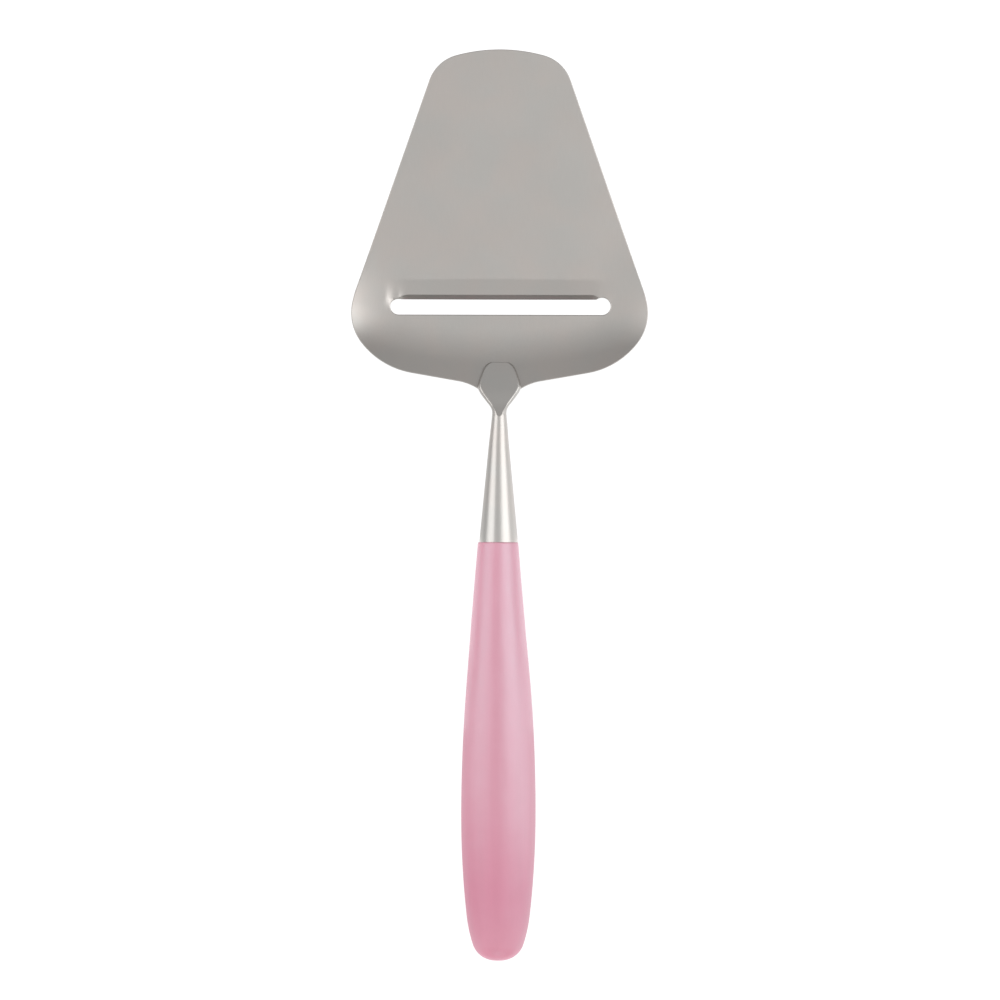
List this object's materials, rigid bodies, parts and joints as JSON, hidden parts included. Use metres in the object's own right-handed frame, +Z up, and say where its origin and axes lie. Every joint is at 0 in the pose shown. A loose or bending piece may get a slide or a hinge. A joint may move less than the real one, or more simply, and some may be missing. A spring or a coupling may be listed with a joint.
{
  "type": "cheese slicer",
  "caption": "Hand cheese slicer: trapezoid steel blade with a pressed cutting slot, welded forged shaft and a turned, painted wooden handle.",
  "frame": {"origin": "on the table, under the middle of the whole tool: centred across and along, at the height that the cutting lip and the handle's belly touch", "axes": "+Y from the handle to the blade's tip along the tool, +Z up out of the blade's upper face, +X across the blade"},
  "size_m": [0.0784, 0.2406, 0.0196],
  "materials": {
    "blade_steel": "fine satin, stamped and pressed sheet",
    "shaft_steel": "satin polished forging",
    "weld_steel": "fused weld metal, hidden in the joint",
    "adhesive": "cured resin, hidden in the bore",
    "painted_wood": "satin pink paint over turned wood"
  },
  "bodies": {
    "root": {"blade": "blade_steel", "shaft": "shaft_steel", "spot_welds": "weld_steel", "tang_adhesive": "adhesive", "handle": "painted_wood"}
  },
  "joints": []
}
